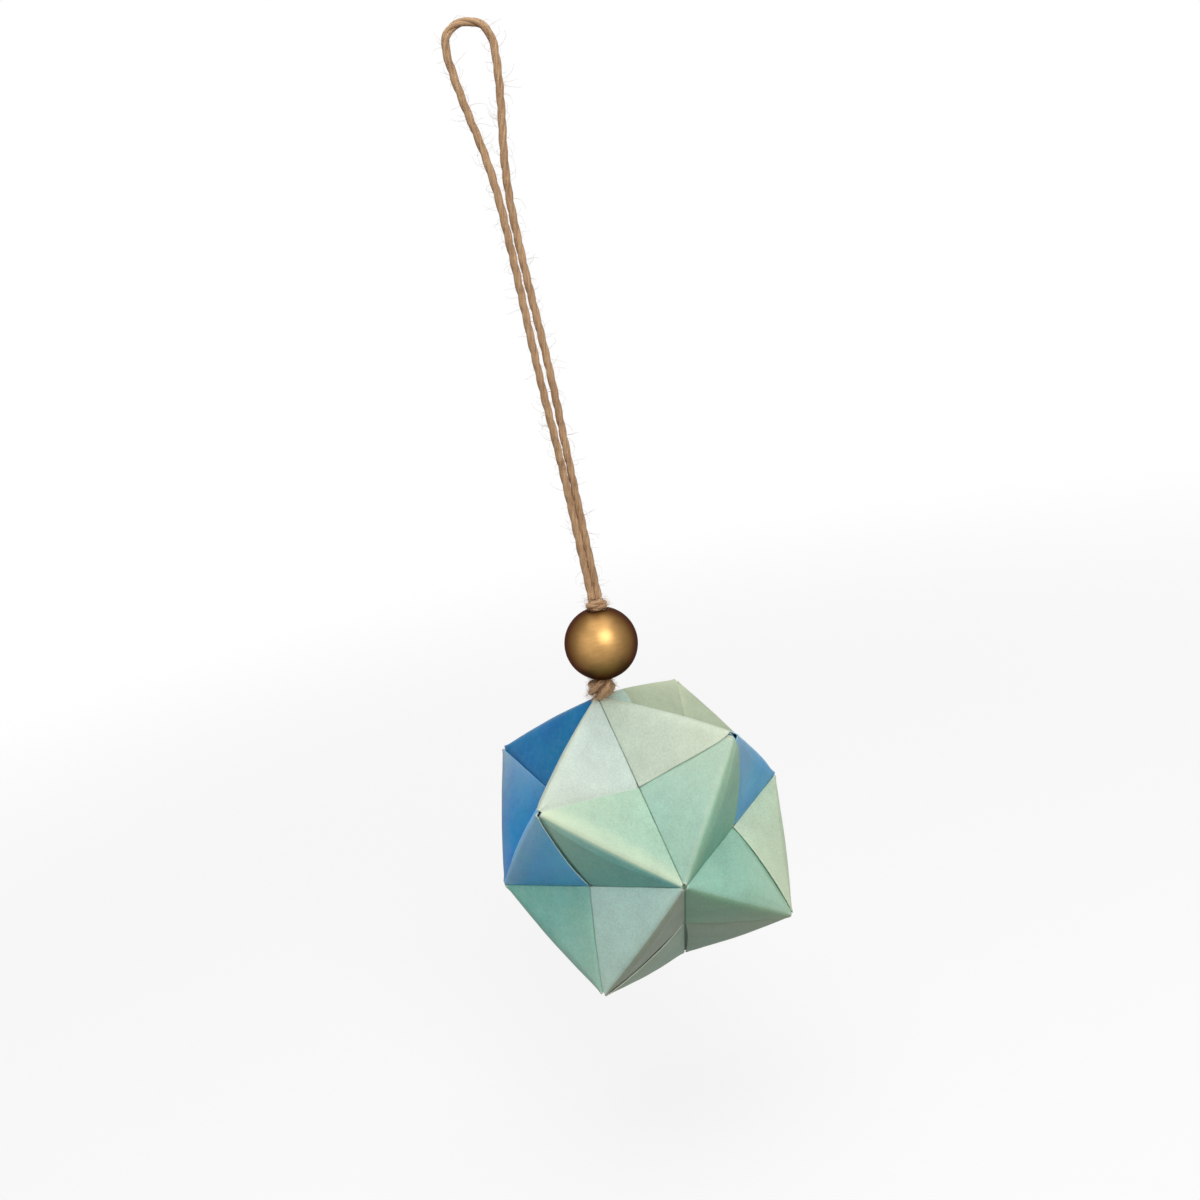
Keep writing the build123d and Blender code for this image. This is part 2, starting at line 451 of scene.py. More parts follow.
print("usual fibres on a square millimetre of twine:", usual_fibres * mm * mm)

# %% [markdown]
# Copies of one hair all bend alike, and that shows. So the copies are made real, and noise pulls
# each one its own way, most at its free end. A three-sided section that narrows towards the end is
# enough for a thing as thin as a hair, and keeps the thousands of them light.

# %% Node tree for stray fibres: how they bend
fibre_wander = 2.4 * mm
fibre_taper = 0.6
fibre_sides = 3
curls_per_metre = 300.0
loose = wire.node("GeometryNodeRealizeInstances", Geometry=placed)
wander = wire.noise(curls_per_metre, 1.0).outputs["Color"]
wander = wire.vector("SUBTRACT", wander, (0.5, 0.5, 0.5))
to_end = wire.node("GeometryNodeSplineParameter").outputs["Factor"]
wander = wire.vector("SCALE", wander, wire.times(to_end, fibre_wander))
curled = wire.node("GeometryNodeSetPosition", Geometry=loose, Offset=wander)
thin = wire.node("GeometryNodeCurvePrimitiveCircle", Resolution=fibre_sides, Radius=0.5)
taper = wire.minus(1.0, wire.times(to_end, fibre_taper))
scale = wire.times(taper, taken["Thickness"])
drawn = wire.node("GeometryNodeCurveToMesh", Curve=curled, Profile_Curve=thin, Scale=scale)
smooth = wire.node("GeometryNodeSetShadeSmooth", Geometry=drawn)
close_tree(wire, given, smooth, taken["Material"])
print("fibre tree:", len(stray_fibres.nodes), "nodes")

# %% [markdown]
# Light is worked out from linear amounts, but a colour that is picked off paper or off a chart is on
# the scale of a screen. So each colour is written as it is picked and turned once. Every material
# here also starts alike, from one Principled shader, because that is what the export can read.


# %% Helpers for materials
def new_material(name):
    """A material, its wiring, and its Principled shader."""
    material = bpy.data.materials.new(name)
    material.use_nodes = True
    return material, Patterns(material.node_tree), material.node_tree.nodes["Principled BSDF"]


def srgb(red, green, blue):
    """A colour as it is read off a colour chart, 0 to 255, turned into the linear light that nodes use."""
    linear = [((v / 255 + 0.055) / 1.055) ** 2.4 if v > 10 else v / 3295 for v in (red, green, blue)]
    return (*linear, 1.0)


print("a mid grey in linear light:", [round(v, 3) for v in srgb(128, 128, 128)])

# %% [markdown]
# The colour of jute runs along each yarn in fine streaks, pale where a fibre lies on top and brown
# in the grooves. A picture of jute could be wrapped on, but it would need to follow every turn of
# the lay. Noise does it better: it reads the two attributes that the twine tree stored, the length
# held long and the way round held short. The same material goes on the hairs, in a paler pair.

# %% Jute material
lengthwise_pull = 40.0
streak_scale = 7.0
streak_share = 0.75
patches_per_metre = 260.0
groove_tone = 0.34
top_tone = 0.60
jute_relief = 0.1 * mm


def jute_material(name, pale, brown):
    """Spun plant fibre: streaks along the yarn, a little sheen and a soft ridged surface."""
    material, wire, shader = new_material(name)
    drawn_out = wire.node("ShaderNodeCombineXYZ", Z=wire.times(wire.carried("along"), lengthwise_pull))
    place = wire.vector("ADD", wire.carried("round", "Vector"), drawn_out)
    streaks = wire.noise(streak_scale, 4.0, 0.65, place)
    patches = wire.noise(patches_per_metre, 3.0, place=wire.on_object())
    tone = wire.weighed(streak_share, streaks, patches)
    wire.feed(
        shader,
        Base_Color=wire.ramp(tone, (groove_tone, brown), (top_tone, pale)),
        Roughness=0.75,
        Sheen_Weight=0.15,
        Normal=wire.node("ShaderNodeBump", Strength=0.7, Distance=jute_relief, Height=streaks),
    )
    return material


jute = jute_material("jute", srgb(224, 186, 144), srgb(134, 92, 60))
jute_hair = jute_material("jute_hair", srgb(226, 196, 158), srgb(176, 132, 92))
print("materials:", [m.name for m in (jute, jute_hair)])

# %% [markdown]
# A tree is run on an object as a modifier. Left live, it would be worked out again at each change,
# and the frame takes plain meshes only. So the result is copied into a mesh of its own, and the
# carrier is thrown away. An input is set by its identifier, because its name is only a label.


# %% Helper for running a tree
def made_plain(name, source, tree, values, thickness=0.0):
    """Run a node group on an object, and return the result as an object with a plain mesh."""
    modifier = source.modifiers.new(tree.name, "NODES")
    modifier.node_group = tree
    for item in tree.interface.items_tree:
        if item.in_out == "INPUT" and item.name in values:
            modifier[item.identifier] = values[item.name]
    if thickness:
        thicken = source.modifiers.new("thickness", "SOLIDIFY")
        thicken.thickness = thickness
        thicken.offset = -1.0
    evaluated = source.evaluated_get(bpy.context.evaluated_depsgraph_get())
    mesh = bpy.data.meshes.new_from_object(evaluated)
    bpy.data.objects.remove(source)
    mesh.name = name
    return in_scene(name, mesh)


print("trees ready to run:", [tree.name for tree in (laid_twine, stray_fibres)])

# %% [markdown]
# The loop is one length of twine, doubled over. Old twine untwists and spreads, so its yarns are
# drawn a little wider than the cord's own thickness. The fibres grow on a copy of the finished
# twine, and both results become plain meshes before the frame hears of them.

# %% Make the loop
spread_width = 2.25 * mm
loop_lay_length = 15 * mm


def twine_values(width, lay_length, unevenness, seed):
    """What the twine tree needs for one run of twine."""
    return {
        "Width": width,
        "Yarns": yarn_count,
        "Lay length": lay_length,
        "Unevenness": unevenness,
        "Seed": float(seed),
        "Material": jute,
    }


def twine_and_fibres(name, route, seed, width, lay_length, fuzz=1.0, longest=longest_fibre):
    """Laid twine along a route, and the hairs that stand off it, as two plain objects."""
    twine = made_plain(name, route, laid_twine, twine_values(width, lay_length, usual_unevenness, seed))
    values = {
        "Fibres per square metre": usual_fibres * fuzz,
        "Shortest": shortest_fibre,
        "Longest": longest,
        "Thickness": fibre_thickness,
        "Seed": seed,
        "Material": jute_hair,
    }
    carrier = in_scene(name + "_fibres", twine.data.copy())
    fibres = made_plain(name + "_fibres", carrier, stray_fibres, values)
    print(name, len(twine.data.polygons), "faces, fibres", len(fibres.data.polygons), "faces")
    return twine, fibres


loop_twine, loop_fibres = twine_and_fibres("hanging_loop", loop_route, 1, spread_width, loop_lay_length)

# %% [markdown]
# The bead
#
# The bead is a turned wooden ball with a flat at each end of its bore. A sphere with a hole cut
# through it would do, but its edges would stay sharp. A lathe makes it from a profile, so this does
# too: points along the profile, with a soft lip at the bore, go round the bead's own leaning axis.

# %% Bead
bead_low, bead_high = (Vector(corner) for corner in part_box("gold_bead"))
bead_centre = (bead_low + bead_high) / 2
bead_radius = (bead_high.x - bead_low.x) / 2
bead_flat = 3.1 * mm
bead_bore = 4.0 * mm
bore_lip = 0.45 * mm
bead_lean = radians(6.0)
bead_sides = 72
belly_points = 41
lip_points = 6
wall_points = 8


def mesh_of(name, places, edges=(), faces=()):
    """A mesh from its points, edges and faces."""
    mesh = bpy.data.meshes.new(name)
    mesh.from_pydata(places, edges, faces)
    return mesh


def turned_piece(name, profile, sides, turn, centre):
    """Turn a closed profile of (radius, height) points round an axis, as a lathe does."""
    places, faces = [], []
    count = len(profile)
    for step in range(sides):
        angle = 2 * pi * step / sides
        for radius, height in profile:
            places.append(turn @ Vector((radius * cos(angle), radius * sin(angle), height)) + centre)
        here, there = step * count, (step + 1) % sides * count
        for i in range(count):
            j = (i + 1) % count
            faces.append((here + i, there + i, there + j, here + j))
    mesh = mesh_of(name, places, faces=faces)
    mesh.polygons.foreach_set("use_smooth", [True] * len(faces))
    return in_scene(name, mesh)


def bead_profile():
    """From the bottom edge of the bore, round the belly to the top edge, and down the bore."""
    top = sqrt(bead_radius**2 - bead_flat**2)
    bore = bead_bore / 2
    start = np.arctan2(-top, bead_flat)
    belly = [(bead_radius * cos(a), bead_radius * sin(a)) for a in np.linspace(start, -start, belly_points)]
    lip_angles = np.linspace(0, pi / 2, lip_points)
    top_lip = [(bore + bore_lip * (1 - sin(a)), top - bore_lip * (1 - cos(a))) for a in lip_angles]
    bottom_lip = [(radius, -height) for radius, height in reversed(top_lip)]
    down_bore = np.linspace(top - bore_lip, bore_lip - top, wall_points)[1:-1]
    wall = [(bore, height) for height in down_bore]
    return belly + top_lip + wall + bottom_lip


bead_turn = Matrix.Rotation(bead_lean, 4, "Y")
bead = turned_piece("gold_bead_turned", bead_profile(), bead_sides, bead_turn, bead_centre)
print("bead:", round(2 * bead_radius / mm, 1), "mm wide,", len(bead.data.polygons), "faces")

# %% [markdown]
# Gold craft paint is fine metal flakes in a clear binder, brushed on while the bead turns. A plain
# metal in a white room would be as bright at its rim as in its middle. So the base is a metal with
# soft strokes round the axis, Layer Weight darkens its colour to brown towards the rim as painted
# shade in place of a dark room reflected there, and a satin coat carries the broad bright spot.

# %% Gold paint
dull_gold = srgb(174, 126, 54)
bright_gold = srgb(208, 160, 82)
painted_rim_shade = srgb(86, 58, 26)
flake_tint = srgb(150, 120, 80)
stroke_stretch = 4.0
strokes_per_metre = 1500.0
mottles_per_metre = 160.0
stroke_share = 0.45
tone_low = 0.3
tone_high = 0.7
dull_roughness = 0.42
bright_roughness = 0.36
coat_strength = 1.5
paint_relief = 0.03 * mm
gold_paint, wire, shader = new_material("gold_paint")
own_place = wire.node(
    "ShaderNodeMapping",
    {"vector_type": "TEXTURE"},
    Vector=wire.on_object(),
    Location=tuple(bead_centre),
    Rotation=(0.0, bead_lean, 0.0),
)
parts = wire.node("ShaderNodeSeparateXYZ", Vector=own_place).outputs
drawn_round = [wire.over(part, stroke_stretch) for part in parts[:2]]
brushed = wire.node("ShaderNodeCombineXYZ", X=drawn_round[0], Y=drawn_round[1], Z=parts[2])
strokes = wire.noise(strokes_per_metre, 4.0, 0.6, brushed)
mottle = wire.noise(mottles_per_metre, 3.0, place=own_place)
tone = wire.weighed(stroke_share, strokes, mottle)
gold = wire.ramp(tone, (tone_low, dull_gold), (tone_high, bright_gold))
turned_away = wire.node("ShaderNodeLayerWeight", Blend=0.86).outputs["Facing"]
rough = wire.rise(tone, tone_low, tone_high, dull_roughness, bright_roughness, "LINEAR")
wire.feed(
    shader,
    # The base colour turns brown towards the rim: painted shade, set by the angle to the camera.
    Base_Color=wire.mix(turned_away, gold, painted_rim_shade),
    Metallic=0.9,
    Roughness=rough,
    Specular_Tint=flake_tint,
    Coat_Roughness=0.38,
    Coat_Weight=wire.times(wire.minus(1.0, turned_away), coat_strength),
    Normal=wire.node("ShaderNodeBump", Strength=0.2, Distance=paint_relief, Height=tone),
)
bead.data.materials.append(gold_paint)
print("gold paint:", len(gold_paint.node_tree.nodes), "nodes")

# %% [markdown]
# The folded sheets
#
# Every unit is the same fold. Its valley runs between two corners of the ball, and on each side of
# it a ridge climbs to the tip of a small pyramid. Over that ridge one sheet of paper turns: the side
# on the unit's own face is the flap of a pocket, and the other side is the tab, which slides under
# the flap of the next unit. At each tip three ridges meet at right angles, so one set of three
# directions at the tip describes both faces: down the ridge, across the face, and beyond the ridge.

# %% Sizes of the fold
sheet_side = 118.0 * mm
valley_length = sheet_side / 2
ridge_length = valley_length / sqrt(2)
layer_thick = 0.26 * mm
base_depth = 0.98 * mm
base_inset = 1.1 * mm
base_overlap = 0.75 * mm
tip_gap = 0.9 * mm
seam_gap = 0.06 * mm
tuck_length = 6.0 * mm
ridge_round_middle = 3.0 * mm
ridge_round_end = 0.5 * mm
ridge_bow = 1.5 * mm
bow_reach = 9.0 * mm
tip_reach = 5.0 * mm
rim_width = 0.7 * mm
valley_turn_width = 0.4 * mm
valley_turn_depth = 0.08 * mm
pull_reach = 5.0 * mm
dip_reach = 2.0 * mm

valley_start = Vector((-valley_length / 2, 0, valley_length / 2))
valley_end = Vector((valley_length / 2, 0, valley_length / 2))
tip = Vector((0, 2 / 3 * ridge_length, 2 * sqrt(2) / 3 * ridge_length))
down = (valley_start - tip) / ridge_length
across = (valley_end - tip) / ridge_length
beyond = Vector((0, 1 / 3, -2 * sqrt(2) / 3))
print("ridge:", round(ridge_length / mm, 2), "mm, valley:", round(valley_length / mm, 1), "mm")

# %% [markdown]
# Real folds aren't knife edges. A ridge is a soft round that is widest half way along, the faces
# swell a little, and the free edge of a flap lifts where the fold springs open. A bevel would round
# every ridge evenly, and a cloth simulation would lose the straight creases, so each effect is its
# own small function of the place on the sheet: s runs down the ridge and t away from it.

# %% How the ridge, the face and the flap bend
ridge_fullness = 0.65
swelling_fullness = 0.75
lift_fullness = 1.2
widest_round_share = 0.55


def ridge_round(s):
    """Radius of the soft fold at the distance s from the tip."""
    widening = ridge_round_middle - ridge_round_end
    wide = ridge_round_end + widening * sin(pi * s / ridge_length) ** ridge_fullness
    return min(wide, widest_round_share * (min(s, ridge_length - s) - seam_gap))


def swelling(s, t):
    """1 in the middle of the half face beside the ridge, 0 on its three sides."""
    shares = (2 * t / ridge_length, (s - t) / ridge_length, (ridge_length - s - t) / ridge_length)
    return (27 * max(shares[0], 0) * max(shares[1], 0) * max(shares[2], 0)) ** swelling_fullness


def lifting(s, t):
    """1 half way along the seam, 0 at the ridge, at the tip and at the valley."""
    along_seam = min((s + t) / ridge_length, 1.0)
    from_ridge = 2 * min(s, t) / (s + t)
    return 4 * along_seam * (1 - along_seam) * from_ridge**lift_fullness


print("ridge round half way:", round(ridge_round(ridge_length / 2) / mm, 2), "mm")

# %% [markdown]
# At the valley the two halves of a unit meet in a crease. The paper turns in there over its last few
# tenths of a millimetre, so that the crease shows as a fine line, and one tab underneath is pulled a
# little away from it. Both effects fade within millimetres, so they follow the distance to the
# valley. Loose edges modelled by hand would have to be done again whenever the fold changes.


# %% How the valley bends
def from_valley(s, t):
    """The distance from the valley."""
    return (ridge_length - s - t) / sqrt(2)


def valley_drop(s, t):
    """How far the paper turns in at the valley, over its last few tenths of a millimetre."""
    near = max(0.0, 1 - from_valley(s, t) / valley_turn_width)
    return valley_turn_depth * near**2


def valley_pull(s, t):
    """1 at the valley half way from its middle to its end, 0 at both and away from the valley."""
    along_valley = min(max(2 * s / ridge_length - 1, 0.0), 1.0)
    return max(0.0, 1 - from_valley(s, t) / pull_reach) * 4 * along_valley * (1 - along_valley)


print("turn at the valley:", round(valley_drop(ridge_length, 0.0) / mm, 2), "mm")

# %% [markdown]
# The sheet is laid out in rows at right angles to the ridge. On the flap's side a row ends at the
# free edge. On the tab's side it goes on under the next unit's flap, one layer deeper, so that an
# open pocket shows a tab in it and no gap.

# %% Rows of the flap and of the tab
face_shares = (0.05, 0.12, 0.2, 0.3, 0.4, 0.5, 0.6, 0.7, 0.8, 0.88, 0.95, 0.975, 1.0)
tuck_shares = (0.15, 0.5, 1.0)
shortest_tuck = 1.0 * mm
round_steps = 5


def rounded_side(s):
    """Rows of one side of the sheet at s, from the crest of the fold: (t, depth, fold share)."""
    radius = ridge_round(s)
    rows = []
    for step in range(round_steps + 1):
        angle = pi / 4 * (1 + step / round_steps)
        crest = 1 - step / round_steps
        rows.append((radius * (1 - cos(angle)), radius * (1 - sin(angle)), crest))
    return radius, rows


def flap_rows(s):
    """The pocket's flap, from the crest to its free edge: (t, depth, fold share, edge share)."""
    radius, rows = rounded_side(s)
    edge = min(s - seam_gap, ridge_length - s)
    rows = [(t, depth, crest, 0.0) for t, depth, crest in rows]
    for share in face_shares:
        t = radius + share * (edge - radius)
        rows.append((t, valley_drop(s, t), 0.0, 1.0 if share == 1.0 else 0.0))
    return rows


def tab_rows(s):
    """The tab, from the crest to the seam and on under the next flap."""
    radius, rows = rounded_side(s)
    seam = min(s, ridge_length - s)
    rows = [(t, depth, crest, 0.0) for t, depth, crest in rows]
    places = [radius + share * (seam - radius) for share in face_shares]
    tuck = min(tuck_length, ridge_length - 2 * s)
    if tuck > shortest_tuck:
        places += [seam + share * tuck for share in tuck_shares]
    for t in places:
        beside_seam = max(0.0, 1 - max(0.0, s - t) / dip_reach)
        dip = (layer_thick + seam_gap) * beside_seam**2 * (3 - 2 * beside_seam)
        rows.append((t, dip + valley_drop(s, t), 0.0, 0.0))
    return rows


quarter = ridge_length / 4
print("rows a quarter down the ridge:", len(flap_rows(quarter)), "flap,", len(tab_rows(quarter)), "tab")

# %% [markdown]
# Twelve units open by different amounts, and twelve hand-shaped meshes would drift apart. So the
# mesh is made once, and each point carries directions: where it would go if the flap lifted, if the
# tip opened, if the face swelled. The node tree further down adds them up with each unit's amounts.
# The point also knows its place on the flat, unfolded sheet, which is where the dye was put on.

# %% One point of the sheet
ridge_at = 0.25
sheet_across = 4 * ridge_length


def sheet_point(half, side, s, t, depth, crest, edge):
    """A point on one side of the ridge, 1 for the flap and -1 for the tab, and all that it carries."""
    face_way, depth_way = (across, beyond) if side == 1 else (beyond, across)
    turned = Vector((-1, -1, 1) if half else (1, 1, 1))
    which = "second" if half else "first"
    bow = -ridge_bow * sin(pi * s / ridge_length) * max(0.0, 1 - t / bow_reach) ** 2
    place = tip + down * s + face_way * t + depth_way * depth + (across + beyond) * bow / sqrt(2)
    outward = (-depth_way if crest == 0 else -(across + beyond).normalized()) * turned
    ways = {
        "swell": outward * swelling(s, t),
        "face_out": outward,
        f"{which}_open": down * turned * max(0.0, 1 - s / tip_reach) ** 2,
    }
    if crest == 0:
        ways[f"{which}_{'flap' if side == 1 else 'tab'}"] = outward * lifting(s, t)
    if side == -1:
        ways[f"{which}_pull"] = -face_way * turned * valley_pull(s, t)
    u = ridge_at - side * t / sheet_across
    v = s / ridge_length
    unfolded = (1 - u, 1 - v) if half else (u, v)
    return {"place": place * turned, "ways": ways, "edge": edge, "fold": crest, "unfolded": unfolded}


crest_row = flap_rows(quarter)[0]
print("a point on the crest carries:", sorted(sheet_point(0, 1, quarter, *crest_row)["ways"]))

# %% [markdown]
# The two sides share the points of the crest, because two meshes that only touch would show a crack
# there. The second half of the unit is the first one turned half way round the valley's middle. A
# flat layer under each face stands for the folded base, so that no gap shows an empty ball.

# %% Points and faces of a unit
columns = 44


def laid_out():
    """All points of a unit and the faces between them."""
    points, faces = [], []

    def add(*row):
        """Add one point and return its number."""
        points.append(sheet_point(*row))
        return len(points) - 1

    for half in (0, 1):
        before = None
        for column in range(columns + 1):
            share = (1 - cos(pi * column / columns)) / 2
            s = tip_gap + share * (ridge_length - 2 * tip_gap)
            rim = max(0.0, 1 - (min(s, ridge_length - s) - tip_gap) / rim_width)
            crest_row, *flap_rest = flap_rows(s)
            middle = add(half, 1, s, *crest_row[:3], rim)
            flap = [middle] + [add(half, 1, s, *row[:3], max(rim, row[3])) for row in flap_rest]
            tab = [middle] + [add(half, -1, s, *row[:3], rim) for row in tab_rows(s)[1:]]
            if before:
                for here, there, flip in ((flap, before[0], False), (tab, before[1], True)):
                    for a, b, c, d in zip(here, here[1:], there[1:], there):
                        faces.append((a, d, c, b) if flip else (a, b, c, d))
            before = (flap, tab)
        short = ridge_length - base_inset + base_overlap
        corners = ((base_inset, base_inset), (short, base_inset), (base_inset, short))
        base = tuple(add(half, 1, s, t, base_depth, 0.0, 0.0) for s, t in corners)
        for corner in base:
            points[corner]["ways"] = {}
        faces.append(base)
    return points, faces


print("columns of points along a ridge:", columns + 1)

# %% [markdown]
# The points become one mesh, and what they carry becomes attributes, which node trees and materials
# read by name. Vertex groups or shape keys could carry the movements too, but they would need a
# modifier each, and twelve sets of settings. The place on the flat sheet becomes a UV map.

# %% The folded sheet as a mesh
labels = {"flap": "flap lift", "tab": "tab lift", "open": "tip opening", "pull": "tab pull"}
movements = {
    f"{which}_{what}": f"{which.title()} {label}"
    for what, label in labels.items()
    for which in ("first", "second")
}
movements["swell"] = "Swelling"


def folded_sheet():
    """Mesh of one unit in its own place, with all that its points carry as attributes."""
    points, faces = laid_out()
    mesh = mesh_of("folded_sheet", [point["place"] for point in points], faces=faces)
    for name in (*movements, "face_out"):
        values = [c for point in points for c in point["ways"].get(name, Vector())]
        mesh.attributes.new(name, "FLOAT_VECTOR", "POINT").data.foreach_set("vector", values)
    for name in ("edge", "fold"):
        mesh.attributes.new(name, "FLOAT", "POINT").data.foreach_set("value", [p[name] for p in points])
    uv = mesh.uv_layers.new(name="unfolded")
    for loop in mesh.loops:
        uv.data[loop.index].uv = points[loop.vertex_index]["unfolded"]
    mesh.polygons.foreach_set("use_smooth", [True] * len(faces))
    print("folded sheet:", len(points), "points,", len(faces), "faces")
    return mesh


sheet_mesh = folded_sheet()

# %% [markdown]
# The ball repeats this sheet twelve times by one rule, which suits Geometry Nodes: lift and swell
# the sheet by the unit's own amounts, make it a little uneven with seeded noise, and turn it into
# its place. The thickness of the paper is added by a Solidify modifier after the tree.

# %% Node tree for a sheet in its place
wobbles_per_metre = 70.0
sheet_in_place, wire, taken, given = new_group(
    "Sheet in place",
    "GeometryNodeTree",
    {
        "Sheet": "Geometry",
        **{label: 0.0 for label in movements.values()},
        "Unevenness": 0.2 * mm,
        "Seed": 0.0,
        "Turn": (0.0, 0.0, 0.0),
        "Place": (0.0, 0.0, 0.0),
        "Material": "Material",
    },
    {"Sheet": "Geometry"},
)


def stored(wire, name):
    """The direction that the sheet's points carry under a name."""
    reader = wire.node("GeometryNodeInputNamedAttribute", {"data_type": "FLOAT_VECTOR"}, Name=name)
    return reader.outputs["Attribute"]


wobble = wire.noise(wobbles_per_metre, 1.5, seed=taken["Seed"])
offset = wire.vector("SCALE", stored(wire, "face_out"), wire.swing(wobble, taken["Unevenness"]))
for name, label in movements.items():
    offset = wire.vector("ADD", offset, wire.vector("SCALE", stored(wire, name), taken[label]))
shaped = wire.node("GeometryNodeSetPosition", Geometry=taken["Sheet"], Offset=offset)
where = {"Translation": taken["Place"], "Rotation": taken["Turn"]}
seated = wire.node("GeometryNodeTransform", Geometry=shaped, **where)
close_tree(wire, given, seated, taken["Material"])
print("sheet tree:", len(sheet_in_place.nodes), "nodes")

# %% [markdown]
# The paper
#
# The paper is dyed by hand in washes, and the dye sits on the flat sheet before it is folded. Twelve
# painted pictures could carry it. One shader group does the same with less, because every unit has
# the same recipe with other colours: a colour for the flap and one for the tab at each of the two
# ridges. They run into each other half way over the unfolded sheet, and meet sharply at a ridge.
# Where a flap and its tab differ, that sharp step at the ridge is painted shade.

# %% Shader group for dyed paper: the washes
usual_dye = (0.5, 0.7, 0.6, 1.0)
crest_blur = 0.006
run_swing = 0.15
run_start = 0.38
run_end = 0.62
corner_slant = 1.6
clouds_per_metre = 55.0
blotches_per_metre = 190.0
grains_per_metre = 1700.0
dyed_paper, wire, taken, given = new_group(
    "Dyed paper",
    "ShaderNodeTree",
    {
        "First flap colour": usual_dye,
        "First tab colour": usual_dye,
        "Second flap colour": usual_dye,
        "Second tab colour": usual_dye,
        "Blotches": 0.38,
        "Haze": 0.13,
        # The two ridge values set the cream at each crest, which is partly wear and partly painted
        # highlight.
        "First ridge rub": 0.5,
        "Second ridge rub": 0.5,
        "Edge white": 0.85,
        "Tip rub": 0.35,
        "Corner start": 2.0,
        "Corner colour": usual_dye,
        "Seed": 0.0,
    },
    {"Color": "Color", "Roughness": "Float", "Height": "Float"},
)
seed = taken["Seed"]
sheet_place = wire.node("ShaderNodeUVMap", {"uv_map": "unfolded"})
over_sheet, up_sheet, _ = wire.node("ShaderNodeSeparateXYZ", Vector=sheet_place).outputs
paper_noise = partial(wire.noise, place=wire.on_object())
clouds = paper_noise(clouds_per_metre, 3.0, seed=seed)
blotch = paper_noise(blotches_per_metre, 6.0, 0.62, seed=wire.plus(seed, 3.0))
grain = paper_noise(grains_per_metre, 3.0, 0.7, seed=wire.plus(seed, 7.0))
run = wire.plus(over_sheet, wire.swing(clouds, run_swing))
run = wire.rise(run, run_start, run_end)
tab_wash_and_shade = wire.mix(run, taken["First tab colour"], taken["Second tab colour"])
flap_wash_and_shade = wire.mix(run, taken["First flap colour"], taken["Second flap colour"])
from_middle = wire.calc("ABSOLUTE", wire.minus(over_sheet, 0.5))
on_flap = wire.rise(from_middle, ridge_at - crest_blur, ridge_at + crest_blur)
# Where a ridge's flap and tab colours differ, the step at the crest is painted shade.
wash = wire.mix(on_flap, tab_wash_and_shade, flap_wash_and_shade)
slant = wire.times(wire.minus(ridge_at, over_sheet), corner_slant)
past_start = wire.calc("GREATER_THAN", wire.minus(up_sheet, slant), taken["Corner start"])
in_corner = wire.times(past_start, wire.calc("LESS_THAN", over_sheet, ridge_at))
wash = wire.mix(in_corner, wash, taken["Corner colour"])
print("washes:", len(dyed_paper.nodes), "nodes so far")

# %% [markdown]
# A wash never dries even. Clouds and blotches make it lighter and darker, a finer grain comes from
# the fibres, the hue drifts a little, and here and there the paper shows through as a pale haze.
# All of it is noise on the object's own place, so it stays put when the ball is looked at from
# another side.

# %% Shader group for dyed paper: blotches, grain and haze
paper_cream = srgb(236, 238, 220)
grain_swing = 0.3
hue_swing = 0.025
hues_per_metre = 90.0
bare_spots_per_metre = 520.0
bare_start = 0.46
bare_end = 0.74
tone = wire.plus(1.0, wire.swing(wire.weighed(0.5, clouds, blotch), taken["Blotches"]))
fine = wire.plus(1.0, wire.swing(grain, grain_swing))
hue = paper_noise(hues_per_metre, 2.0, seed=wire.plus(seed, 11.0))
toned = wire.node(
    "ShaderNodeHueSaturation",
    Hue=wire.plus(0.5, wire.swing(hue, hue_swing)),
    Saturation=1.0,
    Value=wire.times(tone, fine),
    Color=wash,
)
bare = paper_noise(bare_spots_per_metre, 5.0, 0.72, seed=wire.plus(seed, 13.0))
bare = wire.rise(bare, bare_start, bare_end, climb="LINEAR")
hazy = wire.mix(wire.times(bare, taken["Haze"]), toned, paper_cream)
print("blotches and haze:", len(dyed_paper.nodes), "nodes so far")

# %% [markdown]
# Handling wears the dye off towards the tips. Along the crest a cream band is partly that wear and
# partly a painted highlight, and the soft cream beside it over the flap is a painted highlight. It
# could be painted on, unit by unit. The mesh marks its own crest, and the unfolded place tells how
# far a tip is, so the wear and the painted highlight find the folds of every unit by themselves.

# %% Shader group for dyed paper: rubbed tips, and ridges with wear and a painted highlight
tip_cream = srgb(232, 238, 206)
# The cream along and beside the crests is partly wear and partly painted highlight.
highlight_and_rub_cream = srgb(238, 250, 214)
tip_rub_reach = 0.65
tip_rub_falloff = 1.3
crest_rub_falloff = 2.5
soft_highlight_reach = 0.040
soft_highlight_start = -0.008
soft_highlight_share = 0.7
least_rub = 0.4
second_half = wire.calc("GREATER_THAN", over_sheet, 0.5)
from_tip = wire.calc("ABSOLUTE", wire.minus(up_sheet, second_half))
near_tip = wire.calc("MAXIMUM", wire.minus(1.0, wire.over(from_tip, tip_rub_reach)), 0.0)
tip_rub = wire.times(wire.calc("POWER", near_tip, tip_rub_falloff), taken["Tip rub"])
hazy = wire.mix(wire.times(tip_rub, wire.plus(clouds, 0.5)), hazy, tip_cream)
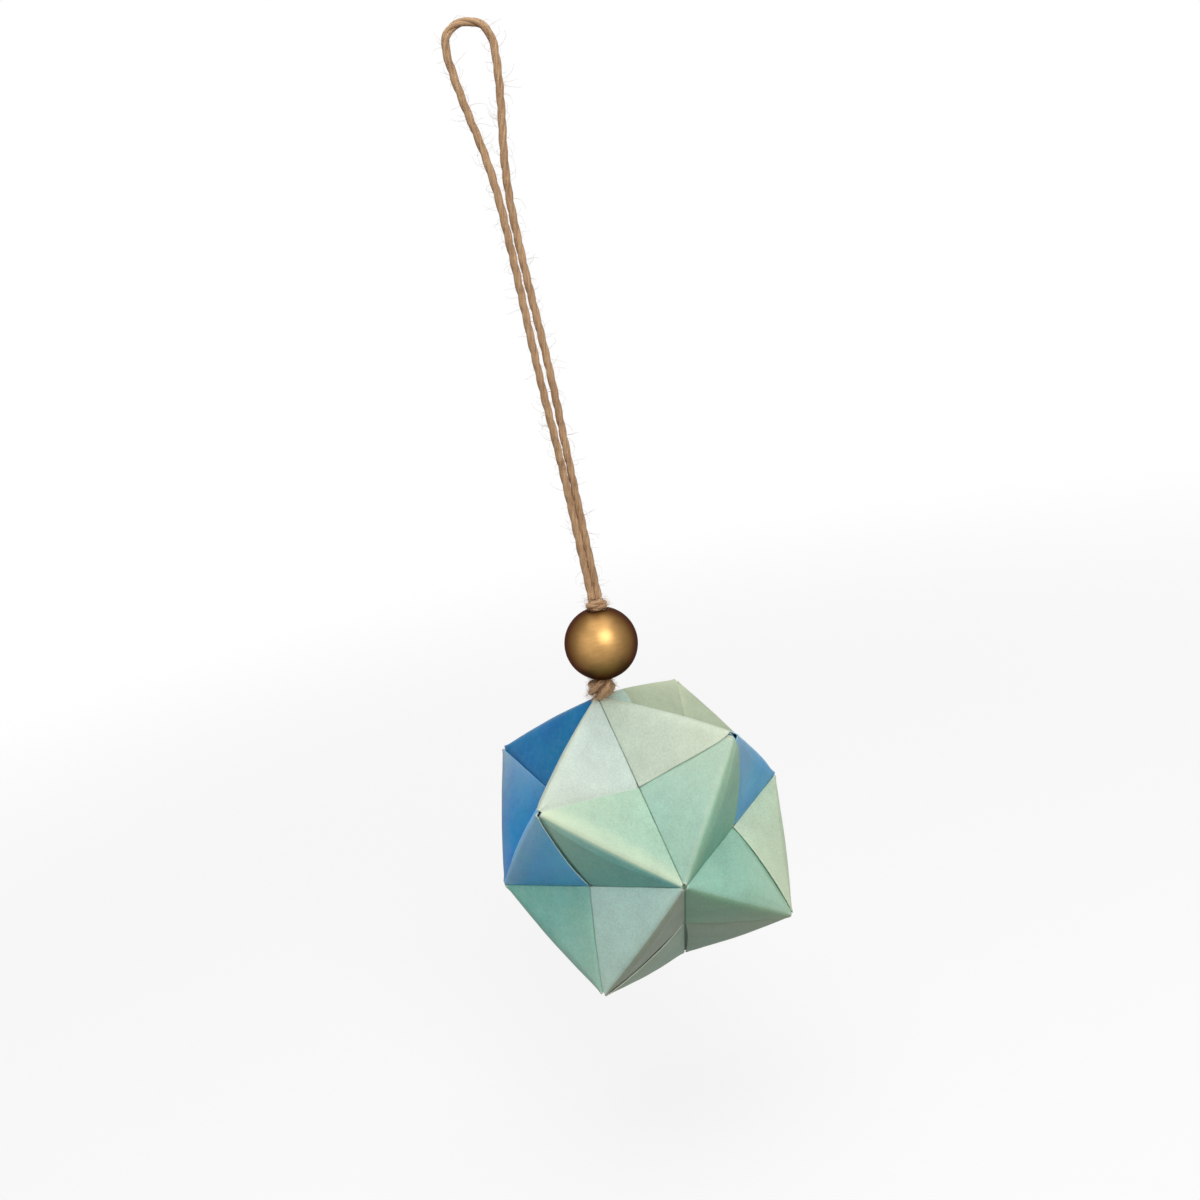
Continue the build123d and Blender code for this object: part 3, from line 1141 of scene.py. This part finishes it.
# Along the crest the cream is partly wear and partly painted highlight; the soft band beside it over the
# flap is painted highlight.
highlight_and_rub_share = wire.times(run, wire.minus(taken["Second ridge rub"], taken["First ridge rub"]))
highlight_and_rub_share = wire.plus(taken["First ridge rub"], highlight_and_rub_share)
beside_ridge = wire.minus(from_middle, ridge_at)
not_far = wire.minus(1.0, wire.rise(beside_ridge, 0.0, soft_highlight_reach))
soft_highlight = wire.times(not_far, wire.rise(beside_ridge, soft_highlight_start, 0.0))
on_crest = wire.calc("POWER", wire.carried("fold"), crest_rub_falloff)
worn_and_highlit = wire.calc("MAXIMUM", on_crest, wire.times(soft_highlight, soft_highlight_share))
rub = wire.times(wire.times(worn_and_highlit, highlight_and_rub_share), wire.plus(blotch, least_rub))
# This mix holds the tip wear, the crest wear and the painted highlight together.
rubbed = wire.mix(rub, hazy, highlight_and_rub_cream)
print("rubbed:", len(dyed_paper.nodes), "nodes so far")

# %% [markdown]
# Dye doesn't reach the inside of a sheet, so its cut edge shows as a fine white line. A separate
# white rim could be modelled, but the mesh knows its edges, so the same group colours them. The
# grain also makes the surface a little rough and uneven, which keeps the satin light soft.

# %% Shader group for dyed paper: white edges and tooth
cut_white = srgb(232, 236, 226)
edge_falloff = 2.0
least_roughness = 0.44
grain_roughness = 0.14
grain_height_share = 0.35
white = wire.times(wire.calc("POWER", wire.carried("edge"), edge_falloff), taken["Edge white"])
wire.feed(
    given,
    Color=wire.mix(white, rubbed, cut_white),
    Roughness=wire.plus(least_roughness, wire.times(grain, grain_roughness)),
    Height=wire.weighed(grain_height_share, grain, blotch),
)
print("paper group:", len(dyed_paper.nodes), "nodes")

# %% [markdown]
# Each unit then gets a material of its own: the group with the unit's colours, on a satin shader
# with a faint tooth. The group only hands over colours and values. The Principled shader and the
# bump stay outside it, where an export can read them.

# %% Paper material of a unit
# A ridge's rub sets the cream on its crest, which is partly wear and partly painted highlight.
Ridge = namedtuple("Ridge", "flap rub lift tab", defaults=[None])
tooth_depth = 0.06 * mm


def paper_material(name, ridges, seed, own_values):
    """Dyed paper in the unit's own colours, with a satin surface and a faint tooth."""
    material, wire, shader = new_material(name)
    group = wire.node("ShaderNodeGroup", {"node_tree": dyed_paper}, Seed=seed)
    for label, ridge in zip(("First", "Second"), ridges):
        look = {"flap colour": ridge.flap, "tab colour": ridge.tab or ridge.flap, "ridge rub": ridge.rub}
        wire.feed(group, **{f"{label} {what}": value for what, value in look.items()})
    wire.feed(group, **own_values)
    made = group.outputs
    wire.feed(
        shader,
        Base_Color=made["Color"],
        Roughness=made["Roughness"],
        Specular_IOR_Level=0.3,
        Normal=wire.node("ShaderNodeBump", Strength=0.35, Distance=tooth_depth, Height=made["Height"]),
    )
    return material


print("what a ridge is told:", Ridge._fields)

# %% [markdown]
# The twelve units are named by the two corners that their valley joins. The first ridge starts at
# the first corner and the second one at the second. A row gives each ridge's flap colour, its rub,
# how many millimetres its flap stands open, and the tab's colour where it isn't the flap's. The rub
# sets the cream along the crest, which is partly wear and partly a painted highlight. Where the tab's
# colour differs, the step between flap and tab is painted shade: darker on the side in shade and
# lighter on the lit side. Most flaps at the lower right and the left spring open, and those near
# the top front lie flat. Random values would be shorter, but the eye knows this ball by its colours.
# A few sheets differ further.

# %% Units of the ball
sea_glass_shade = srgb(125, 199, 190)
pale_aqua = srgb(192, 229, 221)
stone_green_shade = srgb(168, 186, 168)
deep_mint_shade = srgb(131, 202, 177)
light_jade_lit = srgb(165, 219, 198)
frost = srgb(204, 221, 214)
celadon = srgb(201, 217, 200)
sage = srgb(173, 189, 160)
mint = srgb(175, 211, 189)
sea_mint = srgb(164, 203, 186)
pale_lime = srgb(209, 234, 206)
mist = srgb(168, 203, 182)
jade = srgb(141, 201, 169)
aqua = srgb(131, 197, 184)
sky_blue = srgb(92, 191, 252)
azure = srgb(41, 138, 204)
deep_azure = srgb(8, 118, 177)

# At four ridges the flap and the tab get different colours. The step between them is painted shade: darker
# and greyer on the side in shade, lighter on the lit side.
unit_looks = {
    ("top", "front"): (Ridge(celadon, 0.1, 0.10), Ridge(mint, 0.75, 0.12, sea_glass_shade)),
    ("top", "left"): (Ridge(frost, 0.35, 0.80), Ridge(azure, 0.2, 0.10)),
    ("top", "back"): (Ridge(deep_azure, 0.2, 0.20), Ridge(sage, 0.3, 0.60)),
    ("top", "right"): (Ridge(sage, 0.3, 0.05), Ridge(sky_blue, 0.2, 0.80)),
    ("front", "left"): (Ridge(pale_aqua, 0.12, 0.30, stone_green_shade), Ridge(sky_blue, 0.3, 1.30)),
    ("front", "right"): (Ridge(deep_mint_shade, 0.35, 1.30, sea_mint), Ridge(pale_lime, 0.3, 1.40)),
    ("back", "left"): (Ridge(azure, 0.3, 0.50), Ridge(jade, 0.3, 0.70)),
    ("back", "right"): (Ridge(pale_lime, 0.3, 0.60), Ridge(sage, 0.3, 0.10)),
    ("bottom", "front"): (Ridge(mist, 0.15, 1.00), Ridge(jade, 0.1, 0.50, light_jade_lit)),
    ("bottom", "left"): (Ridge(jade, 0.3, 0.60), Ridge(aqua, 0.3, 0.50)),
    ("bottom", "back"): (Ridge(sea_mint, 0.3, 0.50), Ridge(aqua, 0.3, 0.60)),
    ("bottom", "right"): (Ridge(mist, 0.3, 0.50), Ridge(celadon, 0.3, 0.70)),
}
own_papers = {
    ("top", "right"): {"Corner start": 0.70, "Corner colour": srgb(188, 220, 208), "Edge white": 0.1},
    ("top", "left"): {"Edge white": 0.25, "Haze": 0.05},
    ("top", "back"): {"Tip rub": 0.0, "Haze": 0.04},
    ("back", "left"): {"Tip rub": 0.0, "Haze": 0.04},
    ("front", "left"): {"Tip rub": 0.1, "Haze": 0.06},
}
usual_opening = 0.15 * mm
tip_openings = {
    frozenset(("top", "front", "right")): 1.6 * mm,
    frozenset(("top", "front", "left")): 0.4 * mm,
    frozenset(("bottom", "front", "right")): 0.2 * mm,
    frozenset(("bottom", "front", "left")): 0.3 * mm,
}
tab_pulls = {("bottom", "right"): 1.0 * mm}
print("units:", len(unit_looks), "with", len(own_papers), "special sheets")

# %% [markdown]
# A flap lies over the tab of its neighbour, and where it springs open the tab follows part of the
# way. So each tab needs the lift of another unit's flap. The two share a tip, and a tip is known by
# the three corners of its face, in any order.

# %% How the units meet
corner_ways = {
    "right": Vector((1, 0, 0)),
    "left": Vector((-1, 0, 0)),
    "front": Vector((0, -1, 0)),
    "back": Vector((0, 1, 0)),
    "top": Vector((0, 0, 1)),
    "bottom": Vector((0, 0, -1)),
}
tab_follow_share = 0.6


def corner_named(way):
    """The name of the corner that a direction points to."""
    return max(corner_ways, key=lambda name: corner_ways[name].dot(way))


def unit_tips(start, end):
    """For the first ridge and the second: the corner beside the valley, and the tip of that face."""
    third = corner_ways[start].cross(corner_ways[end])
    beside = corner_named(third), corner_named(-third)
    return [(corner, frozenset((start, end, corner))) for corner in beside]


flap_lifts = {}
for ends, ridges in unit_looks.items():
    for corner, ridge, (_, unit_tip) in zip(ends, ridges, unit_tips(*ends)):
        flap_lifts[corner, unit_tip] = ridge.lift * mm
print("flaps:", len(flap_lifts), "widest", max(flap_lifts.values()) / mm, "mm open")

# %% [markdown]
# The ball hangs a little aslant under its bead. Twelve turns typed by hand could be wrong one by
# one. Here a unit's own axes follow from the two corners that its valley joins, so the twelve fit
# together by themselves, and each becomes a plain mesh with its own paper.

# %% Place the twelve sheets
ball_drop = 55.35 * mm
ball_centre = bead_centre - Vector((0, 0, ball_drop))
ball_lean = radians(-6.0)
ball_turn = Matrix.Rotation(ball_lean, 3, "Y")
face_swelling = 0.7 * mm
paper_unevenness = 0.22 * mm


def unit_turn(start, end):
    """The turn that brings a unit's own axes to its place on the ball."""
    way_x = (corner_ways[end] - corner_ways[start]).normalized()
    way_z = (corner_ways[start] + corner_ways[end]).normalized()
    return ball_turn @ Matrix((way_x, way_z.cross(way_x), way_z)).transposed()


def sheet_piece(seed, ends, ridges):
    """One unit as a plain mesh in its place on the ball."""
    place_name = "_".join(ends)
    values = {
        "First tab pull": tab_pulls.get(ends, 0.0),
        "Swelling": face_swelling,
        "Unevenness": paper_unevenness,
        "Seed": float(seed),
        "Turn": tuple(unit_turn(*ends).to_euler()),
        "Place": tuple(ball_centre),
        "Material": paper_material("paper_" + place_name, ridges, float(seed), own_papers.get(ends, {})),
    }
    for label, ridge, (corner, unit_tip) in zip(("First", "Second"), ridges, unit_tips(*ends)):
        values[f"{label} flap lift"] = ridge.lift * mm
        values[f"{label} tab lift"] = tab_follow_share * flap_lifts[corner, unit_tip]
        values[f"{label} tip opening"] = tip_openings.get(unit_tip, usual_opening)
    source = in_scene("sheet_" + place_name, sheet_mesh.copy())
    return made_plain("sheet_" + place_name, source, sheet_in_place, values, layer_thick)


sheets = {}
for seed, (ends, ridges) in enumerate(unit_looks.items(), start=1):
    sheets["unit_" + "_".join(ends)] = sheet_piece(seed, ends, ridges)
print("sheets:", len(sheets), "with", sum(len(s.data.polygons) for s in sheets.values()), "faces")

# %% [markdown]
# Knots and hidden strands
#
# A knot sits on the bead and another one below it, each tied in the same twine, and one more inside
# the ball holds it. An overhand knot could be posed strand by strand, but pulled tight it only shows
# turns that wind round the strands and weave in and out. A torus knot winds and weaves the same way,
# so it gives the route, squashed to the room that the solids leave.

# %% Route of a knot
ring_share = 0.66
steps_per_winding = 60


def route_through(places):
    """An edge mesh object through places that are already in metres."""
    return in_scene("route", mesh_of("route", places, [(i, i + 1) for i in range(len(places) - 1)]))


def wrapped_knot(centre, reach, height, turn, windings, weaves):
    """Places along a tight knot that winds round an upright axis and weaves in and out as it goes."""
    ring = reach * ring_share
    weave = reach - ring
    steps = steps_per_winding * windings
    places = []
    for step in range(steps + 1):
        a = 2 * pi * step / steps
        out = ring + weave * cos(weaves * a)
        rise = sin(weaves * a) * height / 2
        flat = Vector((out * cos(windings * a), out * sin(windings * a), rise))
        places.append(turn @ flat + centre)
    return places


def middle_of(node):
    """The middle of a node's box and half its size."""
    low, high = (Vector(corner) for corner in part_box(node))
    return (low + high) / 2, (high - low) / 2


print("room for the lower knot:", [round(2 * v / mm, 2) for v in middle_of("lower_knot")[1]], "mm")

# %% [markdown]
# Pulled twine is squeezed, so its yarns are laid shorter and its cut and rubbed fibres stand off
# thickly. Each knot leans its own way, is turned so that no two show the same side, and takes the
# tree of the loop with other sizes. The lower one is the more wound and by far the more frayed.

# %% Tie the three knots
knot_hair_length = 2.0 * mm
knot_lay_length = 9 * mm
turn_per_seed = radians(35.0)
first_knot_seed = 21
knot_shapes = {  # lean in degrees, width of the twine, windings, weaves, times the usual fibres
    "upper_knot": (4.0, 1.9 * mm, 3, 2, 6.0),
    "lower_knot": (-18.0, 1.75 * mm, 4, 3, 11.0),
    "stopper_knot": (0.0, 1.9 * mm, 3, 2, 1.0),
}

knots = {}
for seed, (node, shape) in enumerate(knot_shapes.items(), start=first_knot_seed):
    lean, width, windings, weaves, fuzz = shape
    centre, half = middle_of(node)
    turn = Matrix.Rotation(radians(lean), 3, "Y") @ Matrix.Rotation(seed * turn_per_seed, 3, "Z")
    path = wrapped_knot(centre, half.x - width / 2, 2 * half.z - width, turn, windings, weaves)
    tied = (node + "_tied", route_through(path), seed, width, knot_lay_length)
    knots[node] = twine_and_fibres(*tied, fuzz, knot_hair_length)
print("knots:", list(knots))

# %% [markdown]
# The twine runs through the bead and through the top corner in two short straight strands side by
# side. They hardly show, but a look down the bore or through an open tip has to meet twine, so the
# same tree lays them along plain two-point routes.

# %% Strands through the bead and the corner
strand_gap = 0.1 * mm
strand_unevenness = 0.1
first_strand_seed = 41


def strand_places(node, lean):
    """Two straight runs side by side through the length of a node's box."""
    centre, half = middle_of(node)
    way = Vector((sin(lean), 0, cos(lean)))
    aside = Vector((cos(lean), 0, -sin(lean))) * (twine_width + strand_gap) / 2
    reach = way * (half.z / cos(lean) - twine_width / 2 * sin(abs(lean)))
    return [[centre + aside * sign - reach, centre + aside * sign + reach] for sign in (-1, 1)]


strands = {}
for node, lean in (("bead_strands", bead_lean), ("corner_strands", ball_lean)):
    for number, places in enumerate(strand_places(node, lean)):
        seed = first_strand_seed + number
        values = twine_values(twine_width, usual_lay_length, strand_unevenness, seed)
        name = f"{node}_{number + 1}"
        strands[name] = node, made_plain(name, route_through(places), laid_twine, values)
print("strands:", list(strands))

# %% [markdown]
# Room and light
#
# The floor and the backdrop are plain and pale. Making them pale with light would wash the ball out,
# so they are pale only to the camera and to reflections, which Light Path can tell apart. To all
# other rays the floor is a warm dark board, because a white one would light the ball from below.

# %% Floor and backdrop
floor_height = -300 * mm
room_size = 3.0
floor_bounce = (0.13, 0.105, 0.085, 1.0)
floor_seen = (0.95, 0.95, 0.95, 1.0)
full_white = (1.0, 1.0, 1.0, 1.0)
fade_start = 0.35
fade_end = 0.9
least_fade = 0.80


def seen_directly(wire):
    """1 where the camera, a mirror or a glass looks, and 0 where the scene only takes its light."""
    rays = wire.node("ShaderNodeLightPath").outputs
    shown = wire.calc("MAXIMUM", rays["Is Camera Ray"], rays["Is Glossy Ray"])
    return wire.calc("MAXIMUM", shown, rays["Is Transmission Ray"])


pale_paint, wire, shader = new_material("pale_paint")
wire.feed(shader, Base_Color=wire.mix(seen_directly(wire), floor_bounce, floor_seen), Roughness=0.9)
white = wire.node("ShaderNodeEmission", Color=full_white, Strength=1.0)
far = wire.node("ShaderNodeVectorMath", {"operation": "LENGTH"})
wire.give(far.inputs[0], wire.on_object())
share = wire.rise(far.outputs["Value"], fade_start, fade_end, least_fade, 1.0)
blend = wire.node("ShaderNodeMixShader")
wire.fill(blend.inputs, (wire.times(share, seen_directly(wire)), shader, white))
wire.feed(pale_paint.node_tree.nodes["Material Output"], Surface=blend)

corners = ((-1, -1), (1, -1), (1, 1), (-1, 1))
floor_corners = [(x * room_size / 2, y * room_size / 2, floor_height) for x, y in corners]
floor = in_scene("floor", mesh_of("floor", floor_corners, faces=[(0, 1, 2, 3)]))
floor.data.materials.append(pale_paint)
floor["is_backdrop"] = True
print("floor:", round(-floor_height / mm), "mm below the top of the loop")

# %% [markdown]
# Soft light is light from something large. Three wide square lamps do most of the work: one beside
# the camera gives the bead its bright spot, one above makes the faces that look up the palest, and
# one at the left keeps the blue side from going flat. A small cool lamp low at the left picks out
# the undersides. The world fills the rest at a low level, and is white where it is seen.

# %% Lamps and world
lamps = {  # aside, up and back from the ball in the camera's directions; size in metres; watts; colour
    "key_light": ((0.19, 0.39, 0.79), 0.46, 4.0, (1.0, 0.98, 0.95)),
    "top_light": ((-0.09, 0.86, 0.25), 0.90, 4.2, (1.0, 1.0, 1.0)),
    "left_light": ((-0.71, 0.05, 0.57), 0.90, 1.3, (1.0, 1.0, 1.0)),
    "low_light": ((-0.55, -0.70, 0.0), 0.07, 1.6, (0.60, 0.82, 1.0)),
}
fill_level = 0.16

for name, (way, size, power, colour) in lamps.items():
    lamp = bpy.data.lights.new(name, "AREA")
    lamp.size = size
    lamp.energy = power
    lamp.color = colour
    way = camera.rotation_quaternion @ Vector(way)
    light = in_scene(name, lamp)
    light.location = ball_centre + way
    light.rotation_mode = "QUATERNION"
    light.rotation_quaternion = (-way).to_track_quat("-Z", "Y")

world = bpy.data.worlds.new("studio")
scene.world = world
world.use_nodes = True
world.node_tree.nodes.clear()
wire = Patterns(world.node_tree)
strength = wire.rise(seen_directly(wire), 0.0, 1.0, fill_level, 1.0, "LINEAR")
sky = wire.node("ShaderNodeBackground", Color=full_white, Strength=strength)
wire.node("ShaderNodeOutputWorld", Surface=sky)
scene.view_settings.view_transform = "Standard"
print("lights:", list(lamps))

# %% [markdown]
# Hand the pieces over
#
# Each piece rides on the one body and stands for its solid, which is hidden. Hairs stand for no
# solid, so they only ride along. The pieces that go with the loop are gathered in a list and counted.


# %% Ride and replace
def stands_for(piece, node):
    """A piece that shows in place of a solid."""
    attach(piece, "root")
    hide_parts(node)


for node, piece in sheets.items():
    stands_for(piece, node)
stands_for(bead, "gold_bead")
stands_for(loop_twine, "twine_loop")
on_loop = [loop_fibres]
for node, (twine, fibres) in knots.items():
    stands_for(twine, node)
    on_loop += [twine, fibres]
for node, piece in strands.values():
    stands_for(piece, node)
    on_loop.append(piece)
for piece in [loop_fibres] + [fibres for _, fibres in knots.values()]:
    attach(piece, "root")
print("pieces on the cord:", len(on_loop))

# %% [markdown]
# The last cell prints the box of the dressed part beside the box of the packed solids, so that a
# piece that has grown out of them shows up as a number.

# %% Measure and finish
sizes = {"cad": [list(corner) for corner in cad_box], "visual": [list(corner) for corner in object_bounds()]}
for name, (low, high) in sizes.items():
    print(name, "box in mm:", [round(v / mm, 1) for v in low], [round(v / mm, 1) for v in high])
